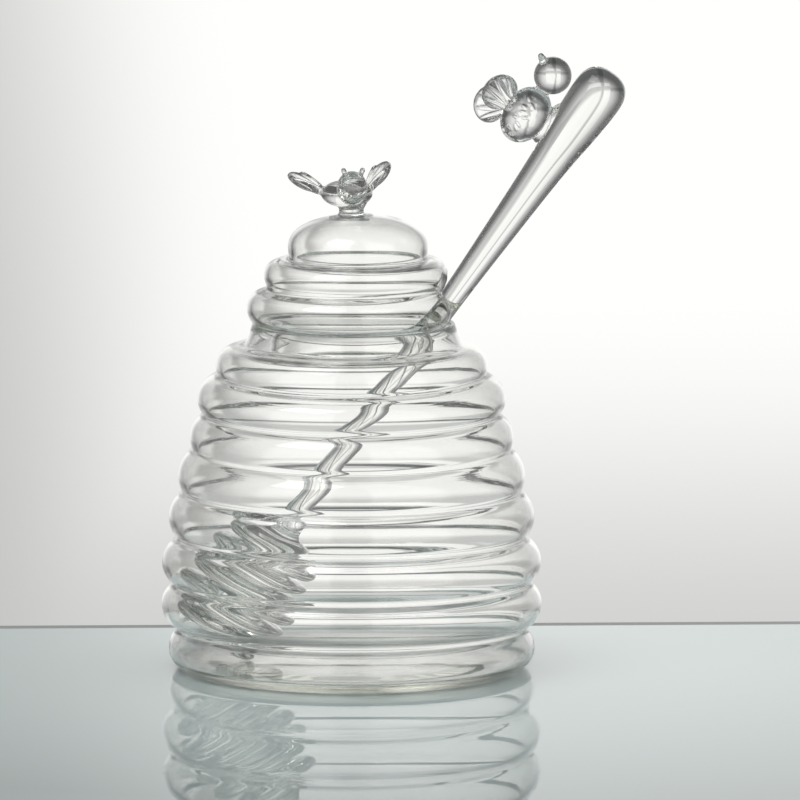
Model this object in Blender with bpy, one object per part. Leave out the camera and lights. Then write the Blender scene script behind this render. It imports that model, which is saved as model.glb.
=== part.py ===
"""A blown-glass honey pot: a ringed jar, a lift-off lid with a glass bee for a knob, and a glass honey dipper
that leans out through a notch in the lid. Metres, +Z up. The origin is the centre of the jar's base."""

import math

import bmesh
import bpy
from mathutils import Matrix, Vector

MM = 0.001

# Clearances
SEAT_GAP = 0.30 * MM  # between pieces that touch, or are fused, on the real pot
NOTCH_SIDE_GAP = 3.0 * MM  # beside the dipper's stem where it passes the lid
NOTCH_TOP_GAP = 2.6 * MM  # over the stem there
NOTCH_RUN_OUT = 3.0 * MM  # that the notch's cut runs on past the lid's rim
SPIGOT_GAP = 4.2 * MM  # between the lid's locating ring and the inside of the neck

# Jar
JAR_BASE_CREST = 52.4 * MM  # radius of the lowest roll
JAR_HEEL_RADIUS = 5.6 * MM  # rounding from that roll's crest into the flat base
# The rolls above it, from the base up. Each is (how much wider its crest is than the crest below,
# rise from that crest, depth of the pinched crease between the two, place of that crease as a share
# of the rise).
JAR_ROLLS = (
    (2.0 * MM, 12.7 * MM, 3.9 * MM, 0.47),
    (-0.2 * MM, 12.2 * MM, 3.7 * MM, 0.50),
    (-2.0 * MM, 13.0 * MM, 3.7 * MM, 0.53),
    (-2.7 * MM, 11.6 * MM, 2.4 * MM, 0.61),
    (-3.4 * MM, 11.5 * MM, 1.9 * MM, 0.66),
    (-2.1 * MM, 10.8 * MM, 2.8 * MM, 0.60),
    (-5.3 * MM, 9.5 * MM, 2.3 * MM, 0.69),
)
JAR_WALL = 1.4 * MM
JAR_FLOOR = 2.6 * MM
SHOULDER_RADIUS = 5.8 * MM  # top roll, over into the neck
NECK_INSET = 9.7 * MM  # of the neck's outside, at the mouth, from the top roll's crest
NECK_FLARE = 1.3 * MM  # that the neck is wider at its foot
NECK_FILLET = 2.0 * MM
NECK_RISE = 12.2 * MM  # from the top roll's crest to the mouth

# Lid: each point of its outline is (inset from the rim's crest, height above the jar's mouth)
LID_WALL = 1.4 * MM
LID_OVERHANG = 0.5 * MM  # of the rim's crest past the neck
LID_RIM_RADIUS = 5.6 * MM  # of the rolled rim itself
LID_LOWER_CREASE = (4.5 * MM, 10.2 * MM)
LID_MIDDLE_CREST = (3.2 * MM, 13.7 * MM)
LID_UPPER_CREASE = (10.1 * MM, 17.7 * MM)
LID_DOME_CREST = (9.7 * MM, 22.2 * MM)
LID_DOME_RISE = 7.9 * MM
LID_DOME_FULLNESS = 2.4  # 2 is an ellipse, and more is squarer
SPIGOT_DEPTH = 8.1 * MM  # of the locating ring below the mouth

# Knob post on the lid
POST_FOOT_RADIUS = 5.9 * MM
POST_FOOT_HEIGHT = 0.9 * MM
POST_WAIST_RADIUS = 3.6 * MM
POST_TOP_RADIUS = 4.6 * MM
POST_HEIGHT = 3.6 * MM
POST_WAIST_SHARE = 0.45  # of the post's height at which it is narrowest

# Bee on the lid: it faces the front, turned a little to +X. Directions are (sideways, backwards, up).
LID_BEE_TURN = math.radians(8)
LID_BEE_OFFSET = (-1.3 * MM, 1.6 * MM)  # of its body's middle from the post
LID_BEE_RISE = 2.8 * MM  # of its underside over the dome's top
LID_BEE_BODY = (7.4 * MM, 8.5 * MM, 3.9 * MM)  # half width, half length, half height
LID_BEE_HEAD_RADIUS = 4.6 * MM
LID_BEE_HEAD_ANGLE = math.radians(15)  # above straight ahead
LID_BEE_LEFT_REACH = (0.70, 0.58, 0.41)
LID_BEE_RIGHT_REACH = (0.51, 0.59, 0.62)
LID_BEE_LEFT_FACE = (-0.60, -0.35, 0.72)
LID_BEE_RIGHT_FACE = (-0.66, -0.14, 0.72)
LID_BEE_WING_LENGTH = 13.2 * MM
LID_BEE_WING_SEAT = -0.20  # height of the wing roots, as a share of the body's half height

# Dipper
STEM_RADIUS = 3.3 * MM
DISC_PITCH = 7.0 * MM
DISC_RADII = (13.2 * MM, 17.8 * MM, 17.0 * MM, 16.0 * MM, 14.5 * MM)  # from the tip up
DISC_THICKNESS = 4.8 * MM
CORE_RADIUS = 7.0 * MM  # of the head between the discs
TIP_RADIUS = 5.0 * MM
TIP_LENGTH = 6.2 * MM  # from the lowest disc's middle to the end
COLLAR_LENGTH = 6.0 * MM  # from the highest disc's middle to the stem
COLLAR_SHARE = 0.45  # of the collar's slope at which it is as wide as the core
STEM_LENGTH = 76.5 * MM  # from the collar up to where the handle starts to swell
# The handle's outline over the stem, as (distance above the stem's end, radius)
HANDLE_SWELL = (
    (34.0 * MM, 4.5 * MM),
    (54.0 * MM, 5.4 * MM),
    (67.0 * MM, 6.9 * MM),
    (76.6 * MM, 7.5 * MM),
)

# Bee on the dipper's handle
DIPPER_BEE_BODY = (6.4 * MM, 8.6 * MM, 6.6 * MM)
DIPPER_BEE_HEAD_RADIUS = 5.4 * MM
DIPPER_BEE_HEAD_ANGLE = math.radians(1)
DIPPER_BEE_STATION = 60.3 * MM  # of the body's middle above the stem's end
DIPPER_BEE_REACH = (0.38, 0.18, 0.90)
DIPPER_BEE_WING_FACE = (-0.90, 0.10, 0.35)
DIPPER_BEE_WING_LENGTH = 13.8 * MM
DIPPER_BEE_WING_SEAT = 0.30
DIPPER_BEE_PAD = (3.2 * MM, 5.2 * MM, 2.6 * MM)
DIPPER_BEE_PAD_DROP = 2.8 * MM  # down the handle from the body's middle
DIPPER_BEE_PAD_RISE = -0.1 * MM  # of the pad's middle over the body's underside

# Bodies, wings and feelers, alike on both bees
BODY_TAPER = 0.08  # that a body narrows by from its middle to its tail
HEAD_SINK = 0.5 * MM  # that a head is pressed into its body
WING_HALF_WIDTH = 6.4 * MM
WING_ROOT_HALF_WIDTH = 2.0 * MM
WING_WIDEST = 0.57  # share of the length at which a wing is widest
WING_BLUNTNESS = 0.62  # 1 is a leaf with a pointed tip, and less is rounder
WING_ROOT_THICKNESS = 2.4 * MM
WING_TIP_THICKNESS = 1.1 * MM
WING_EDGE = 0.7  # 1 is an oval section, and less is squarer
WING_CUP = 0.18  # rise of the edges over the middle, as a share of the half width
WING_CURL = 0.06  # rise of the tip, as a share of the length
WING_RIB_SHARE = 0.35  # of the half thickness that the ribs stand out by
WING_RIBS = 3
WING_ROOT_SHARE = 0.86  # of the body's half width at which a wing is rooted
FEELER_LENGTH = 2.2 * MM
FEELER_RADIUS = 0.55 * MM
FEELER_BALL_RADIUS = 0.85 * MM
FEELER_TILT = (0.36, -0.38, 0.85)

# Facets
JAR_STEPS = 32
LID_STEPS = 28
HEAD_STEPS = 24
ROD_STEPS = 20
BEE_STEPS = 16
BEE_ROWS = 10
FEELER_STEPS = 8
HANDLE_ROWS = 9
DOME_ROWS = 6
ROLL_SEGMENTS = 2

# Tints of the glass
THIN_WALL = (0.95, 0.96, 0.95)
SOLID_ROD = (0.90, 0.92, 0.88)


def clear_scene():
    for old in list(bpy.data.objects):
        bpy.data.objects.remove(old, do_unlink=True)


def glass(name, colour):
    """Clear borosilicate glass for one piece, with the tint of its thickness."""
    material = bpy.data.materials.new(name)
    material.use_nodes = True
    shader = material.node_tree.nodes["Principled BSDF"]
    shader.inputs["Base Color"].default_value = (*colour, 1.0)
    shader.inputs["Roughness"].default_value = 0.02
    shader.inputs["Metallic"].default_value = 0.0
    shader.inputs["IOR"].default_value = 1.47
    shader.inputs["Transmission Weight"].default_value = 1.0
    material.diffuse_color = (*colour, 1.0)
    return material


def new_object(name, mesh, colour, parent=None):
    for polygon in mesh.polygons:
        polygon.use_smooth = True
    obj = bpy.data.objects.new(name, mesh)
    bpy.context.scene.collection.objects.link(obj)
    mesh.materials.append(glass(name + "_glass", colour))
    obj.parent = parent
    return obj


def frame_empty(name, location, turn):
    """An empty on a joint's axis that carries the pieces of one moving body."""
    empty = bpy.data.objects.new(name, None)
    empty.location = location
    empty.rotation_euler = turn
    bpy.context.scene.collection.objects.link(empty)
    return empty


def turned(name, outline, steps, colour, parent=None):
    """Turns an outline of (radius, height) points about the local Z axis. It runs down the outer side."""
    mesh = bpy.data.meshes.new(name)
    points = [(radius, 0.0, height) for radius, height in outline]
    mesh.from_pydata(points, [(i, i + 1) for i in range(len(points) - 1)], [])
    obj = new_object(name, mesh, colour, parent)
    screw = obj.modifiers.new("turn", "SCREW")
    screw.axis = "Z"
    screw.steps = steps
    screw.render_steps = steps
    screw.use_merge_vertices = True
    screw.merge_threshold = 0.00005
    screw.use_smooth_shade = True
    return obj


def arc(centre, radius, start, end, segments):
    """Points on a circle in the (radius, height) plane. Angles are in radians from straight out."""
    points = []
    for i in range(segments + 1):
        angle = start + (end - start) * i / segments
        points.append((centre[0] + radius * math.cos(angle), centre[1] + radius * math.sin(angle)))
    return points


def roll_side(crest, crease, segments):
    """The arc from a roll's crest, where it is upright, to the crease above or below it."""
    drop = crest[0] - crease[0]
    rise = crease[1] - crest[1]
    radius = (drop * drop + rise * rise) / (2 * drop)
    centre = (crest[0] - radius, crest[1])
    return arc(centre, radius, 0.0, math.atan2(rise, crease[0] - centre[0]), segments)


def inner_side(outer, wall):
    """The outline one wall inside an outline that runs down the outer side, in the same order."""
    inner = []
    for i, point in enumerate(outer):
        before = outer[max(i - 1, 0)]
        after = outer[min(i + 1, len(outer) - 1)]
        normal = Vector((0.0, 0.0))
        for start, end in ((before, point), (point, after)):
            edge = Vector((end[0] - start[0], end[1] - start[1]))
            if edge.length > 0.0:
                normal += Vector((edge.y, -edge.x)).normalized()
        normal.normalize()
        inner.append((max(point[0] + wall * normal.x, 0.0), point[1] + wall * normal.y))
    return inner


def jar_crests():
    """The crest of every roll, from the base up, as (radius, height)."""
    crests = [(JAR_BASE_CREST, JAR_HEEL_RADIUS)]
    for step, rise, _, _ in JAR_ROLLS:
        crests.append((crests[-1][0] + step, crests[-1][1] + rise))
    return crests


def jar_creases():
    """The pinched crease below each roll but the lowest, from the base up, as (radius, height)."""
    creases = []
    for below, (step, rise, depth, share) in zip(jar_crests(), JAR_ROLLS):
        creases.append((below[0] + share * step - depth, below[1] + share * rise))
    return creases


def mouth_height():
    return jar_crests()[-1][1] + NECK_RISE


def neck_radius():
    """Radius of the neck's outside at the mouth."""
    return jar_crests()[-1][0] - NECK_INSET


def jar_outer():
    """The jar's outside from the neck, just under its mouth, down to the heel at the base."""
    lip = (neck_radius(), mouth_height() - JAR_WALL / 2)
    crests, creases = jar_crests(), jar_creases()
    shoulder = (crests[-1][0] - SHOULDER_RADIUS, crests[-1][1])
    reach = SHOULDER_RADIUS + NECK_FILLET
    fillet_out = neck_radius() + NECK_FLARE + NECK_FILLET - shoulder[0]
    fillet = (shoulder[0] + fillet_out, shoulder[1] + math.sqrt(reach * reach - fillet_out * fillet_out))
    meeting = math.atan2(fillet[1] - shoulder[1], fillet_out)
    slope = math.atan2(NECK_FLARE, lip[1] - fillet[1])
    outline = [lip]
    outline += arc(fillet, NECK_FILLET, math.pi + slope, math.pi + meeting, 2)
    outline += arc(shoulder, SHOULDER_RADIUS, meeting, 0.0, 3)[1:]
    for below, crease, above in reversed(list(zip(crests, creases, crests[1:]))):
        outline += roll_side(above, crease, ROLL_SEGMENTS)[1:]
        outline += list(reversed(roll_side(below, crease, ROLL_SEGMENTS)))[1:]
    heel = (JAR_BASE_CREST - JAR_HEEL_RADIUS, JAR_HEEL_RADIUS)
    return outline + arc(heel, JAR_HEEL_RADIUS, 0.0, -math.pi / 2, 3)[1:]


def jar_inner():
    """The jar's inside from under the mouth down to where the wall meets the floor."""
    inside = inner_side(jar_outer(), JAR_WALL)
    return [point for point in inside if point[1] > JAR_FLOOR + JAR_WALL / 2]


def lip_centre():
    """Centre of the rounding along the jar's mouth, in the (radius, height) plane."""
    return (neck_radius() - JAR_WALL / 2, mouth_height() - JAR_WALL / 2)


def make_jar():
    inner = jar_inner()
    lip = arc(lip_centre(), JAR_WALL / 2, math.pi, 0.0, 4)
    corner = (inner[-1][0] - JAR_WALL, JAR_FLOOR)
    outline = [(0.0, JAR_FLOOR), corner] + list(reversed(inner[1:])) + lip + jar_outer()[1:] + [(0.0, 0.0)]
    return turned("jar", outline, JAR_STEPS, THIN_WALL)


def on_lid(point):
    """A point of the lid's outline, as (radius, height), from its inset and its height above the mouth."""
    return (neck_radius() + LID_OVERHANG - point[0], mouth_height() + point[1])


def dome_top():
    return on_lid(LID_DOME_CREST)[1] + LID_DOME_RISE


def dome_point(angle):
    """A point on the dome's outline, from its crest at angle 0 to its top at a right angle."""
    crest = on_lid(LID_DOME_CREST)
    power = 2 / LID_DOME_FULLNESS
    return (crest[0] * math.cos(angle) ** power, crest[1] + LID_DOME_RISE * math.sin(angle) ** power)


def dome_height(radius):
    """Height of the dome's outside at a radius."""
    share = radius / on_lid(LID_DOME_CREST)[0]
    return dome_top() - LID_DOME_RISE * (1 - (1 - share**LID_DOME_FULLNESS) ** (1 / LID_DOME_FULLNESS))


def spigot_radius():
    return neck_radius() - JAR_WALL - SPIGOT_GAP


def lid_rim_centre():
    """Centre of the rolled rim, where it rests on the jar's rounded mouth with the seat gap."""
    lip = lip_centre()
    radius = on_lid((LID_RIM_RADIUS, 0.0))[0]
    reach = LID_RIM_RADIUS + JAR_WALL / 2 + SEAT_GAP
    return (radius, lip[1] + math.sqrt(reach * reach - (lip[0] - radius) ** 2))


def lid_outer():
    """The lid's outside from the middle of the dome down to the foot of its locating ring."""
    upper, lower, middle = on_lid(LID_UPPER_CREASE), on_lid(LID_LOWER_CREASE), on_lid(LID_MIDDLE_CREST)
    outline = [(0.0, dome_top())]
    outline += [dome_point(math.pi / 2 * (1 - i / DOME_ROWS)) for i in range(1, DOME_ROWS)]
    outline += roll_side(on_lid(LID_DOME_CREST), upper, ROLL_SEGMENTS)
    outline += list(reversed(roll_side(middle, upper, 2 * ROLL_SEGMENTS)))[1:]
    outline += roll_side(middle, lower, ROLL_SEGMENTS)[1:]
    rim = lid_rim_centre()
    start = math.atan2(lower[1] - rim[1], lower[0] - rim[0])
    outline += arc(rim, LID_RIM_RADIUS, start, 0.0, 3)[1:]
    end = -math.acos((spigot_radius() - rim[0]) / LID_RIM_RADIUS)
    outline += arc(rim, LID_RIM_RADIUS, 0.0, end, 4)[1:]
    outline.append((spigot_radius(), mouth_height() - SPIGOT_DEPTH + LID_WALL / 2))
    return outline


def make_lid_shell(parent):
    outer = lid_outer()
    inner = inner_side(outer, LID_WALL)
    foot_centre = (outer[-1][0] - LID_WALL / 2, outer[-1][1])
    foot = arc(foot_centre, LID_WALL / 2, 0.0, -math.pi, 4)[1:-1]
    outline = outer + foot + list(reversed(inner))
    return turned("lid_shell", outline, LID_STEPS, THIN_WALL, parent)


def disc_heights():
    """Heights of the dipper's disc middles above its tip, along the dipper."""
    return [TIP_LENGTH + i * DISC_PITCH for i in range(len(DISC_RADII))]


def head_outline():
    """The dipper head's outline from its collar, under the stem, down to its tip."""
    heights = disc_heights()
    collar = heights[-1] + COLLAR_LENGTH
    half = DISC_THICKNESS / 2
    outline = [(0.0, collar), (STEM_RADIUS, collar)]
    outline.append((CORE_RADIUS, heights[-1] + half + COLLAR_SHARE * (COLLAR_LENGTH - half)))
    for radius, height in zip(reversed(DISC_RADII), reversed(heights)):
        outline += arc((radius - half, height), half, math.radians(75), math.radians(-75), 4)
        if height > heights[0]:
            outline.append((CORE_RADIUS, height - DISC_PITCH / 2))
    outline += arc((0.0, TIP_RADIUS), TIP_RADIUS, math.radians(15), math.radians(-90), 4)
    return outline


def stem_foot():
    """Height of the stem's lower end above the dipper's tip."""
    return disc_heights()[-1] + COLLAR_LENGTH + SEAT_GAP


def handle_base():
    """Height above the tip at which the handle starts to swell."""
    return stem_foot() + STEM_LENGTH


def handle_radius(height):
    """The handle's radius at a height above the dipper's tip, smoothly through the swell's points."""
    points = [(-HANDLE_SWELL[0][0], STEM_RADIUS), (0.0, STEM_RADIUS), *HANDLE_SWELL]
    points.append((2 * HANDLE_SWELL[-1][0] - HANDLE_SWELL[-2][0], HANDLE_SWELL[-2][1]))
    above = height - handle_base()
    for i in range(1, len(points) - 2):
        start, end = points[i], points[i + 1]
        if above <= end[0]:
            break
    along = min(max((above - start[0]) / (end[0] - start[0]), 0.0), 1.0)
    step = end[0] - start[0]
    leave = (end[1] - points[i - 1][1]) / (end[0] - points[i - 1][0]) * step
    arrive = (points[i + 2][1] - start[1]) / (points[i + 2][0] - start[0]) * step
    square, cube = along**2, along**3
    return (
        (2 * cube - 3 * square + 1) * start[1]
        + (cube - 2 * square + along) * leave
        + (3 * square - 2 * cube) * end[1]
        + (cube - square) * arrive
    )


def handle_outline(grow=0.0):
    """The stem and handle from the rounded end down to the stem's foot, grown on all sides by `grow`."""
    base = handle_base()
    swell_top = base + HANDLE_SWELL[-1][0]
    end_radius = HANDLE_SWELL[-1][1] + grow
    outline = arc((0.0, swell_top), end_radius, math.pi / 2, 0.0, 5)
    outline[0] = (0.0, outline[0][1])
    for i in range(1, HANDLE_ROWS + 1):
        height = swell_top + (base - swell_top) * i / HANDLE_ROWS
        outline.append((handle_radius(height) + grow, height))
    outline += [(STEM_RADIUS + grow, stem_foot() - grow), (0.0, stem_foot() - grow)]
    return outline


def rest_on(lean):
    """Where the dipper's tip lies at a lean, with the stem on the jar's mouth and the head on its floor."""
    lip = lip_centre()
    offset = JAR_WALL / 2 + STEM_RADIUS + SEAT_GAP
    across = lip[0] * math.cos(lean) - lip[1] * math.sin(lean) - offset
    lowest = min(height * math.cos(lean) - radius * math.sin(lean) for radius, height in head_outline())
    tip_height = JAR_FLOOR + SEAT_GAP - lowest
    return ((across + tip_height * math.sin(lean)) / math.cos(lean), tip_height)


def distance_to_edge(point, start, end):
    edge = Vector(end) - Vector(start)
    along = (Vector(point) - Vector(start)).dot(edge) / edge.length_squared
    nearest = Vector(start) + edge * min(max(along, 0.0), 1.0)
    return (Vector(point) - nearest).length


def wall_gap(lean):
    """Least distance from the head's discs to the jar's inner wall, below zero if a disc is through it."""
    tip = rest_on(lean)
    wall = [(-radius, height) for radius, height in jar_inner()]
    gaps = []
    for radius, height in head_outline():
        x = tip[0] + height * math.sin(lean) - radius * math.cos(lean)
        z = tip[1] + height * math.cos(lean) + radius * math.sin(lean)
        for start, end in zip(wall, wall[1:]):
            low, high = sorted((start[1], end[1]))
            gap = distance_to_edge((x, z), start, end)
            if low <= z <= high:
                at = start[0] + (end[0] - start[0]) * (z - start[1]) / (end[1] - start[1])
                gap = gap if x > at else -gap
            gaps.append(gap)
    return min(gaps)


def dipper_lean():
    """The lean at which the head, resting on the floor, also meets the jar's wall."""
    upright, fallen = math.radians(20), math.radians(50)
    for _ in range(30):
        lean = (upright + fallen) / 2
        if wall_gap(lean) > SEAT_GAP:
            upright = lean
        else:
            fallen = lean
    return upright


def cut(obj, cutter):
    boolean = obj.modifiers.new("trim_" + cutter.name, "BOOLEAN")
    boolean.operation = "DIFFERENCE"
    boolean.object = cutter


def as_cutter(obj):
    obj.hide_render = True
    obj.display_type = "WIRE"
    return obj


def make_notch_cutter(dipper, lean):
    """A slot round the dipper's stem, open downwards and outwards, in the dipper's own frame."""
    half_width = STEM_RADIUS + NOTCH_SIDE_GAP
    depth = STEM_RADIUS + NOTCH_TOP_GAP
    reach = neck_radius() + LID_OVERHANG
    bottom = stem_foot()
    top = (reach + NOTCH_RUN_OUT - dipper.location.x) / math.sin(lean)
    arch = arc((0.0, 0.0), 1.0, math.pi / 2, 3 * math.pi / 2, 8)
    outline = [Vector((x * depth, y * half_width, bottom)) for x, y in arch]
    outline += [Vector((reach, -half_width, bottom)), Vector((reach, half_width, bottom))]
    shape = bmesh.new()
    face = shape.faces.new([shape.verts.new(point) for point in outline])
    raised = bmesh.ops.extrude_face_region(shape, geom=[face])
    moved = [item for item in raised["geom"] if isinstance(item, bmesh.types.BMVert)]
    bmesh.ops.translate(shape, verts=moved, vec=(0.0, 0.0, top - bottom))
    bmesh.ops.recalc_face_normals(shape, faces=shape.faces)
    mesh = bpy.data.meshes.new("notch_cutter")
    shape.to_mesh(mesh)
    shape.free()
    return as_cutter(new_object("notch_cutter", mesh, THIN_WALL, dipper))


def sphere(name, place_point, colour, parent, placement, pole):
    """A unit sphere with its poles on the `pole` axis, each point moved by place_point."""
    shape = bmesh.new()
    bmesh.ops.create_uvsphere(shape, u_segments=BEE_STEPS, v_segments=BEE_ROWS, radius=1.0)
    bmesh.ops.rotate(shape, verts=shape.verts, matrix=Matrix.Rotation(math.pi / 2, 3, pole))
    for vertex in shape.verts:
        vertex.co = place_point(vertex.co)
    mesh = bpy.data.meshes.new(name)
    shape.to_mesh(mesh)
    shape.free()
    obj = new_object(name, mesh, colour, parent)
    obj.matrix_local = placement
    return obj


def egg(name, half_sizes, parent, placement, taper=0.0):
    """An egg with half_sizes along its local X, Y and Z. It faces -Y, and taper narrows its tail."""

    def on_egg(point):
        narrow = 1.0 - taper * point.y
        width, length, height = half_sizes
        return Vector((point.x * width * narrow, point.y * length, point.z * height * narrow))

    return sphere(name, on_egg, SOLID_ROD, parent, placement, "X")


def grown(half_sizes):
    return tuple(size + SEAT_GAP for size in half_sizes)


def make_wing(name, length, parent, placement):
    """A ribbed, slightly cupped blade from its root at the local origin out along +X."""
    skew = math.log(0.5) / math.log(WING_WIDEST)

    def on_wing(point):
        along = min(max((point.x + 1) / 2, 0.0), 1.0)
        around = math.hypot(point.y, point.z)
        across = point.y / around if around > 1e-6 else 0.0
        over = point.z / around if around > 1e-6 else 0.0
        blade = WING_HALF_WIDTH * max(math.sin(math.pi * along**skew), 0.0) ** WING_BLUNTNESS
        root = WING_ROOT_HALF_WIDTH * (1 - along) ** 2 if around > 1e-6 else 0.0
        half_width = max(blade, root)
        thickness = WING_ROOT_THICKNESS + (WING_TIP_THICKNESS - WING_ROOT_THICKNESS) * along
        rib = 1 + WING_RIB_SHARE * math.cos(WING_RIBS * math.pi * across)
        rise = WING_CUP * half_width * across**2 + WING_CURL * length * along**2
        return Vector(
            (length * along, half_width * across, thickness / 2 * around**WING_EDGE * over * rib + rise)
        )

    return sphere(name, on_wing, SOLID_ROD, parent, placement, "Y")


def make_feeler(name, parent, placement):
    """A short stalk with a bead on its end, standing on its local origin along +Z."""
    bead = arc((0.0, FEELER_LENGTH), FEELER_BALL_RADIUS, math.pi / 2, math.radians(-50), 4)
    outline = [(0.0, bead[0][1])] + bead[1:] + [(FEELER_RADIUS, 0.0), (0.0, 0.0)]
    obj = turned(name, outline, FEELER_STEPS, SOLID_ROD, parent)
    obj.matrix_local = placement
    return obj


def aimed(origin, out, up):
    """A placement whose local X is along `out` and whose local Z is as near `up` as it can be."""
    x = out.normalized()
    z = (up - x * up.dot(x)).normalized()
    rotation = Matrix((x, z.cross(x), z)).transposed().to_4x4()
    return Matrix.Translation(origin) @ rotation


def standing(origin, up):
    """A placement whose local Z is along `up`."""
    return Matrix.Translation(origin) @ Vector((0.0, 0.0, 1.0)).rotation_difference(up).to_matrix().to_4x4()


def head_centre(body, head_radius, angle):
    """Where a head sits at an angle above straight ahead, pressed a little into the body's oval."""
    surface = 1 / math.hypot(math.cos(angle) / body[1], math.sin(angle) / body[2])
    reach = surface + head_radius - HEAD_SINK
    return Vector((0.0, -reach * math.cos(angle), reach * math.sin(angle)))


def make_bee(prefix, bee_frame, body, head_radius, head_angle):
    """A bee's body, head and feelers. Its body's middle is the origin, -Y is forward and +Z is its back."""
    here = Matrix.Identity(4)
    egg(prefix + "_body", body, bee_frame, here, BODY_TAPER)
    body_room = as_cutter(egg(prefix + "_body_room", grown(body), bee_frame, here, BODY_TAPER))
    centre = head_centre(body, head_radius, head_angle)
    head_sizes = (head_radius, head_radius, head_radius)
    place = Matrix.Translation(centre)
    head = egg(prefix + "_head", head_sizes, bee_frame, place)
    cut(head, body_room)
    head_room = as_cutter(egg(prefix + "_head_room", grown(head_sizes), bee_frame, place))
    for side, name in ((-1, "_left_feeler"), (1, "_right_feeler")):
        tilt = Vector((side * FEELER_TILT[0], FEELER_TILT[1], FEELER_TILT[2])).normalized()
        root = centre + tilt * (head_radius - FEELER_RADIUS)
        cut(make_feeler(prefix + name, bee_frame, standing(root, tilt)), head_room)
    return body_room, head


def add_wing(name, side, bee_frame, body, body_room, seat, length, reach, face):
    """One wing, rooted on the body's flank: side is -1 for the left and 1 for the right."""
    root = Vector((side * WING_ROOT_SHARE * body[0], 0.0, seat * body[2]))
    out = Vector((side * reach[0], reach[1], reach[2]))
    up = Vector((side * face[0], face[1], face[2]))
    cut(make_wing(name, length, bee_frame, aimed(root, out, up)), body_room)


def make_post(parent, body_room):
    """The knob's post: a foot pressed on the dome, a waist, and a top that cups the bee's body."""
    foot = []
    for i in range(4):
        radius = POST_FOOT_RADIUS * (1 - i / 3)
        foot.append((radius, dome_height(radius) + SEAT_GAP))
    waist = dome_top() + POST_WAIST_SHARE * POST_HEIGHT
    outline = [
        (0.0, dome_top() + POST_HEIGHT),
        (POST_TOP_RADIUS, dome_top() + POST_HEIGHT),
        (POST_WAIST_RADIUS, waist),
        (POST_FOOT_RADIUS, foot[0][1] + POST_FOOT_HEIGHT),
        *foot,
    ]
    cut(turned("lid_knob_post", outline, ROD_STEPS, SOLID_ROD, parent), body_room)


def make_lid():
    """The lid and its bee. Returns the shell, which the notch is cut from."""
    lid = frame_empty("lid", (0.0, 0.0, 0.0), (0.0, 0.0, 0.0))
    shell = make_lid_shell(lid)
    body_height = dome_top() + LID_BEE_RISE + LID_BEE_BODY[2]
    bee_frame = frame_empty("lid_bee", (*LID_BEE_OFFSET, body_height), (0.0, 0.0, LID_BEE_TURN))
    bee_frame.parent = lid
    body_room, _ = make_bee("lid_bee", bee_frame, LID_BEE_BODY, LID_BEE_HEAD_RADIUS, LID_BEE_HEAD_ANGLE)
    left = (-1, "left", LID_BEE_LEFT_REACH, LID_BEE_LEFT_FACE)
    right = (1, "right", LID_BEE_RIGHT_REACH, LID_BEE_RIGHT_FACE)
    for side, name, reach, face in (left, right):
        add_wing(
            f"lid_bee_{name}_wing",
            side,
            bee_frame,
            LID_BEE_BODY,
            body_room,
            LID_BEE_WING_SEAT,
            LID_BEE_WING_LENGTH,
            reach,
            face,
        )
    make_post(lid, body_room)
    return shell


def make_dipper(lean):
    """The dipper and its bee, in a frame whose origin is the dipper's tip and whose +Z runs up the stem."""
    tip_x, tip_z = rest_on(lean)
    dipper = frame_empty("dipper", (tip_x, 0.0, tip_z), (0.0, lean, 0.0))
    turned("dipper_head", head_outline(), HEAD_STEPS, SOLID_ROD, dipper)
    turned("dipper_handle", handle_outline(), ROD_STEPS, SOLID_ROD, dipper)
    room_outline = handle_outline(SEAT_GAP)
    handle_room = as_cutter(turned("dipper_handle_room", room_outline, ROD_STEPS, SOLID_ROD, dipper))
    # The bee lies along the handle on its upper side, head up, with its back away from the handle.
    station = handle_base() + DIPPER_BEE_STATION
    stand_off = handle_radius(station) + SEAT_GAP + DIPPER_BEE_BODY[2]
    bee_frame = frame_empty("dipper_bee", (0.0, 0.0, 0.0), (0.0, 0.0, 0.0))
    bee_frame.parent = dipper
    axes = Matrix(((0.0, 0.0, -1.0), (-1.0, 0.0, 0.0), (0.0, -1.0, 0.0))).to_4x4()
    bee_frame.matrix_local = Matrix.Translation((-stand_off, 0.0, station)) @ axes
    body_room, head = make_bee(
        "dipper_bee", bee_frame, DIPPER_BEE_BODY, DIPPER_BEE_HEAD_RADIUS, DIPPER_BEE_HEAD_ANGLE
    )
    cut(head, handle_room)
    for side, name in ((-1, "left"), (1, "right")):
        add_wing(
            f"dipper_bee_{name}_wing",
            side,
            bee_frame,
            DIPPER_BEE_BODY,
            body_room,
            DIPPER_BEE_WING_SEAT,
            DIPPER_BEE_WING_LENGTH,
            DIPPER_BEE_REACH,
            DIPPER_BEE_WING_FACE,
        )
    pad_place = (0.0, DIPPER_BEE_PAD_DROP, DIPPER_BEE_PAD_RISE - DIPPER_BEE_BODY[2])
    pad = egg("dipper_bee_pad", DIPPER_BEE_PAD, bee_frame, Matrix.Translation(pad_place))
    cut(pad, body_room)
    cut(pad, handle_room)
    return dipper


clear_scene()
make_jar()
lid_shell = make_lid()
dipper_lean_angle = dipper_lean()
dipper_frame = make_dipper(dipper_lean_angle)
cut(lid_shell, make_notch_cutter(dipper_frame, dipper_lean_angle))
bpy.context.view_layer.update()
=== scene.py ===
import math

import bpy
from mathutils import Matrix, Vector


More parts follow.
